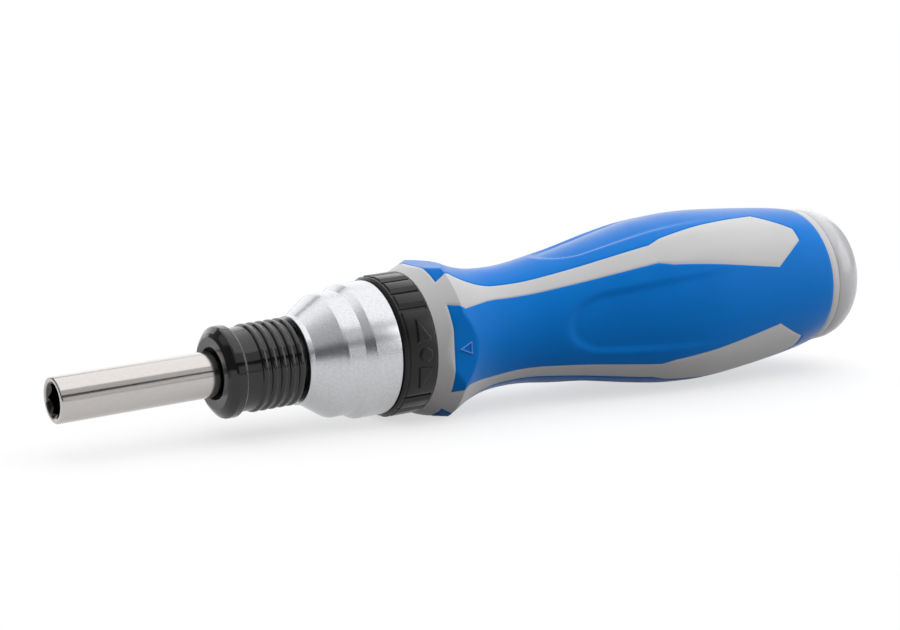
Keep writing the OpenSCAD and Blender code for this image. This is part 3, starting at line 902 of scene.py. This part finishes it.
class SCREWDRIVER_OT_end_cap(bpy.types.Operator):
    """Builds the domed end cap with its plug"""

    bl_idname = "screwdriver.end_cap"
    bl_label = "End Cap"

    def execute(self, context):
        plug, rear, top = CAP
        front = CORE[1] + 0.15
        plug_r, bore_r, web = 10.92, 8.92, 2
        groove_r, groove_half = 9.75, 0.65
        groove = front - 4.95
        axis_r = 0.02
        crown, edge = 26.4, 8.32
        low = top - edge
        span = math.sqrt((crown - edge) ** 2 - low**2)
        crown_x = rear - crown
        lean = math.atan2(low, span)
        outline = eased([(front, plug_r, 0), (front, top - 0.1, 0.3), (front + 0.4, top, 0)])[:-1]
        for a in np.linspace(math.pi / 2, lean, 24):
            outline.append((crown_x + span + edge * math.cos(a), low + edge * math.sin(a)))
        for a in np.linspace(lean, 0, 24)[1:-1]:
            outline.append((crown_x + crown * math.cos(a), crown * math.sin(a)))
        outline += [
            (rear, axis_r),
            (front + web, axis_r),
            (front + web, bore_r),
            (plug, bore_r),
            (plug, plug_r),
            (groove - groove_half, plug_r),
            (groove - groove_half, groove_r),
            (groove + groove_half, groove_r),
            (groove + groove_half, plug_r),
        ]
        points, faces = lathe(outline)
        add_piece(
            "end_cap_skin", points, faces, pale_plastic(), "cap", ["end_cap"], sharp=40
        )
        return {"FINISHED"}


class SCREWDRIVER_OT_inner_works(bpy.types.Operator):
    """Gives every inner CAD part its metal or rubber finish"""

    bl_idname = "screwdriver.inner_works"
    bl_label = "Inner Works"

    def execute(self, context):
        ground = works_metal("ground_tool_steel", (0.52, 0.52, 0.54), 0.25, 0.4)
        spring = works_metal("drawn_spring_steel", (0.6, 0.6, 0.62), 0.2, 0.3)
        ball = works_metal("bearing_ball_steel", (0.75, 0.75, 0.77), 0.06, 0.12)
        bronze = works_metal("sintered_bronze", (0.62, 0.43, 0.2), 0.4, 0.55)
        cast = works_metal("cast_housing_metal", (0.42, 0.42, 0.44), 0.45, 0.6)
        plated = works_metal("plated_magnet", (0.35, 0.35, 0.37), 0.3, 0.45)
        rubber = works_metal("seal_rubber", (0.02, 0.02, 0.02), 0.6, 0.8, 0.0)
        finishes = {
            "bit_shank": ground, "bit_magnet": plated, "spindle": ground, "ratchet_gear": ground,
            "pawl_upper": ground, "pawl_lower": ground, "collar_spring": spring,
            "collar_snap_ring": spring, "detent_leaf": spring, "pawl_spring_upper": spring,
            "pawl_spring_lower": spring, "lock_ball_near": ball, "lock_ball_far": ball,
            "front_bush": bronze, "thrust_washer": bronze, "ratchet_housing": cast,
            "cap_seal": rubber,
        }
        for name, material in finishes.items():
            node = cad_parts[name]
            node.data.materials.clear()
            node.data.materials.append(material)
        return {"FINISHED"}


class SCREWDRIVER_OT_stage(bpy.types.Operator):
    """Sets the pale floor, the soft lights and the camera"""

    bl_idname = "screwdriver.stage"
    bl_label = "Stage"

    def execute(self, context):
        scene = context.scene
        scene.view_settings.view_transform = "Standard"
        self.floor(scene)
        self.world(scene)
        self.lights(scene)
        self.camera(scene)
        return {"FINISHED"}

    def floor(self, scene):
        """A wide pale floor under the flange's flat and the palm swell."""
        swell, flange = Vector((0.157, 0, -0.0201)), Vector((0.0894, 0, -0.0168))
        slope = (swell.z - flange.z) / (swell.x - flange.x)
        side = 30.0
        corners = [(-side, -side), (side, -side), (side, side), (-side, side)]
        points = [(x, y, swell.z + (x - swell.x) * slope) for x, y in corners]
        mesh = bpy.data.meshes.new("floor")
        mesh.from_pydata(points, [], [(0, 1, 2, 3)])
        floor = bpy.data.objects.new("floor", mesh)
        scene.collection.objects.link(floor)
        f = Finish("pale_floor", roughness=0.9, specular_ior_level=0.0)
        seen = self.seen(f)
        # Paper white to the eye; to the tool a warm grey card that turns pale behind it.
        grey_card, pale_card, paper = (0.3, 0.285, 0.28), (0.94, 0.94, 0.94), (0.95, 0.95, 0.95)
        across = f.add("ShaderNodeSeparateXYZ", Vector=f.where).outputs["Y"]
        behind = f.add("ShaderNodeMapRange", **{"Value": across, "From Min": 0.0, "From Max": 0.06})
        card = f.tint(behind.outputs["Result"], grey_card, pale_card)
        f.put(f.shader.inputs["Base Color"], f.tint(seen, card, paper))
        # Far from the tool the floor fades to plain white; near it the shadow stays.
        tool_middle = (0.11, 0.0, -0.018)
        near, far, least = 0.08, 0.3, 0.62
        away = f.tree.nodes.new("ShaderNodeVectorMath")
        away.operation = "DISTANCE"
        f.put(away.inputs[0], f.where)
        f.put(away.inputs[1], tool_middle)
        fade = f.add(
            "ShaderNodeMapRange",
            **{"Value": away.outputs["Value"], "From Min": near, "From Max": far, "To Min": least},
        )
        glow = f.add("ShaderNodeEmission", Strength=1.0)
        mix = f.add("ShaderNodeMixShader", Fac=f.math("MULTIPLY", seen, fade.outputs["Result"]))
        f.put(mix.inputs[1], f.shader.outputs[0])
        f.put(mix.inputs[2], glow.outputs[0])
        f.put(f.tree.nodes["Material Output"].inputs["Surface"], mix.outputs[0])
        mesh.materials.append(f.material)

    def seen(self, f):
        """1 for what the camera sees directly, in a reflection or through glass."""
        path = f.add("ShaderNodeLightPath").outputs
        mirrored = f.math("MAXIMUM", path["Is Camera Ray"], path["Is Glossy Ray"])
        return f.math("MAXIMUM", mirrored, path["Is Transmission Ray"])

    def world(self, scene):
        """Dim light of the room around the lamps."""
        world = bpy.data.worlds.new("studio")
        scene.world = world
        world.use_nodes = True
        room = world.node_tree.nodes["Background"]
        room.inputs["Color"].default_value = (0.62, 0.65, 0.7, 1)
        room.inputs["Strength"].default_value = 0.2

    def lights(self, scene):
        """Soft boxes overhead, brightest above the tool, and cards behind, at the right and in front."""
        # Name, place, aim, size and power in watts
        boxes = (
            ("top_box", (0.52, 0.08, 0.66), (0.52, 0.08, 0), (1.5, 1.16), 8.2),
            ("front_box", (0.52, -0.85, 0.66), (0.52, -0.85, 0), (1.5, 0.7), 2.0),
            ("left_box", (-0.56, -0.27, 0.66), (-0.56, -0.27, 0), (0.66, 1.86), 1.9),
            ("back_card", (0.5, 1.3, 0.5), (0.1, 0, 0), (2.4, 1.0), 10.5),
            ("right_card", (0.95, -0.5, 0.3), (0.1, 0, 0), (0.7, 0.6), 3.0),
            ("front_card", (0.8, -1.35, 0.24), (0.1, 0, 0.02), (1.2, 0.46), 1.2),
        )
        for box in boxes:
            self.soft_box(scene, *box)
        self.flag(scene)

    def flag(self, scene):
        """A dark cloth in front of the overhead boxes, which draws a line on the bright metal."""
        mesh = bpy.data.meshes.new("light_flag")
        corners = [(-1.2, -1.21, 0.66), (1.4, -1.21, 0.66), (1.4, -1.23, 0.53), (-1.2, -1.23, 0.53)]
        mesh.from_pydata(corners, [], [(0, 1, 2, 3)])
        flag = bpy.data.objects.new("light_flag", mesh)
        scene.collection.objects.link(flag)
        f = Finish("black_cloth", roughness=0.95)
        f.base(f.noise(60, 2), (0.01, 0.01, 0.01), 0.2)
        mesh.materials.append(f.material)

    def soft_box(self, scene, name, place, aim, size, power):
        light = bpy.data.lights.new(name, "AREA")
        light.shape = "RECTANGLE"
        light.size, light.size_y = size
        light.energy = power
        lamp = bpy.data.objects.new(name, light)
        lamp.location = place
        lamp.rotation_euler = (Vector(aim) - Vector(place)).to_track_quat("-Z", "Y").to_euler()
        scene.collection.objects.link(lamp)

    def camera(self, scene):
        """The photograph's view: a long lens a little above the tool and ahead of its tip."""
        data = bpy.data.cameras.new("photo_view")
        data.sensor_width, data.lens = 36.0, 100.0
        data.clip_start, data.clip_end = 0.01, 20.0
        camera = bpy.data.objects.new("photo_view", data)
        right = Vector((0.85327, -0.51916, -0.04905))
        up = Vector((0.1402, 0.1378, 0.98049))
        back = right.cross(up)
        turn = Matrix((right, up, back)).transposed()
        camera.matrix_world = Matrix.Translation((-0.18552, -0.47249, 0.11085)) @ turn.to_4x4()
        scene.collection.objects.link(camera)
        scene.camera = camera


class SCREWDRIVER_PT_panel(bpy.types.Panel):
    """Lists the pieces of the screwdriver"""

    bl_idname = "SCREWDRIVER_PT_panel"
    bl_label = "Screwdriver"
    bl_space_type = "VIEW_3D"
    bl_region_type = "UI"
    bl_category = "Screwdriver"

    def draw(self, context):
        for operator in OPERATORS:
            self.layout.operator(operator.bl_idname)
        for group in (sizes(), finish_colours()):
            for key in group.__annotations__:
                self.layout.prop(group, key)


OPERATORS = (
    SCREWDRIVER_OT_stage,
    SCREWDRIVER_OT_bit_holder,
    SCREWDRIVER_OT_collar,
    SCREWDRIVER_OT_nose,
    SCREWDRIVER_OT_selector,
    SCREWDRIVER_OT_handle_core,
    SCREWDRIVER_OT_soft_grip,
    SCREWDRIVER_OT_end_cap,
    SCREWDRIVER_OT_inner_works,
)
CLASSES = (ScrewdriverSizes, ScrewdriverFinish, *OPERATORS, SCREWDRIVER_PT_panel)


def register():
    for cls in CLASSES:
        bpy.utils.register_class(cls)
    bpy.types.Scene.screwdriver_sizes = PointerProperty(type=ScrewdriverSizes)
    bpy.types.Scene.screwdriver_finish = PointerProperty(type=ScrewdriverFinish)


def unregister():
    del bpy.types.Scene.screwdriver_finish
    del bpy.types.Scene.screwdriver_sizes
    for cls in reversed(CLASSES):
        bpy.utils.unregister_class(cls)


def main():
    register()
    bpy.ops.screwdriver.stage()
    bpy.ops.screwdriver.bit_holder()
    bpy.ops.screwdriver.collar()
    bpy.ops.screwdriver.nose()
    bpy.ops.screwdriver.selector()
    bpy.ops.screwdriver.handle_core()
    bpy.ops.screwdriver.soft_grip()
    bpy.ops.screwdriver.end_cap()
    bpy.ops.screwdriver.inner_works()


if __name__ == "__main__":
    main()
